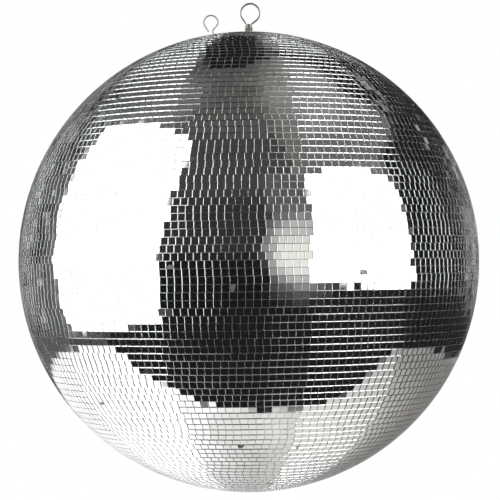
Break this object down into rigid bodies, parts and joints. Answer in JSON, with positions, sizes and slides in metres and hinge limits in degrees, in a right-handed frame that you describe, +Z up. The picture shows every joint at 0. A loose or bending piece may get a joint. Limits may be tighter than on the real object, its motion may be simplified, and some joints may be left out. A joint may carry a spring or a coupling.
{
  "type": "mirror ball",
  "caption": "Hanging mirror ball: a hollow plastic sphere tiled with square mirrors, with a strip loop on a swivel stem at the top and an open wire safety eye beside it.",
  "frame": {"origin": "where a hook bears: the level of the loop's inner crown, on the ball's spin axis", "axes": "+Z up along the spin axis; X across the loop, with the safety eye on the -X side; Y through the loop's opening"},
  "size_m": [0.5, 0.5, 0.5329],
  "materials": {
    "mirror_tiles": "silvered glass tiles, 7 mm square, polished, with pale ground edges",
    "shell_plastic": "moulded grey ABS",
    "loop_steel": "bright plated spring steel strip",
    "zinc_steel": "dull zinc plating, slightly green",
    "bush_nylon": "natural nylon"
  },
  "bodies": {
    "loop": {"hanging_loop": "loop_steel", "loop_rivet": "zinc_steel"},
    "stem": {"swivel_stem": "zinc_steel", "thrust_washer": "zinc_steel", "stem_castle_nut": "zinc_steel", "stem_split_pin": "zinc_steel"},
    "ball": {"bottom_plug": "shell_plastic", "bottom_pole_mirror": "mirror_tiles", "joining_ring": "shell_plastic", "lower_shell": "shell_plastic", "mirror_band_lower_1": "mirror_tiles", "mirror_band_lower_2": "mirror_tiles", "mirror_band_lower_3": "mirror_tiles", "mirror_band_lower_4": "mirror_tiles", "mirror_band_lower_5": "mirror_tiles", "mirror_band_lower_6": "mirror_tiles", "mirror_band_lower_7": "mirror_tiles", "mirror_band_lower_8": "mirror_tiles", "mirror_band_upper_1": "mirror_tiles", "mirror_band_upper_2": "mirror_tiles", "mirror_band_upper_3": "mirror_tiles", "mirror_band_upper_4": "mirror_tiles", "mirror_band_upper_5": "mirror_tiles", "mirror_band_upper_6": "mirror_tiles", "mirror_band_upper_7": "mirror_tiles", "mirror_band_upper_8": "mirror_tiles", "ring_rivet_lower_1": "zinc_steel", "ring_rivet_lower_2": "zinc_steel", "ring_rivet_lower_3": "zinc_steel", "ring_rivet_lower_4": "zinc_steel", "ring_rivet_upper_1": "zinc_steel", "ring_rivet_upper_2": "zinc_steel", "ring_rivet_upper_3": "zinc_steel", "ring_rivet_upper_4": "zinc_steel", "safety_eye": "zinc_steel", "safety_eye_locknut": "zinc_steel", "safety_eye_nut": "zinc_steel", "safety_eye_washer": "zinc_steel", "swivel_bush": "bush_nylon", "top_plate": "zinc_steel", "top_plate_rivet_1": "zinc_steel", "top_plate_rivet_2": "zinc_steel", "top_plate_rivet_3": "zinc_steel", "top_plate_rivet_4": "zinc_steel", "upper_shell": "shell_plastic"}
  },
  "joints": [
    {"name": "loop_pivot", "type": "hinge", "parent": "loop", "child": "stem", "pos_m": [0, 0, -0.02694], "axis": [1, 0, 0], "range_deg": [-90, 90]},
    {"name": "ball_spin", "type": "hinge", "parent": "stem", "child": "ball", "pos_m": [0, 0, -0.28164], "axis": [0, 0, 1], "continuous": true}
  ]
}
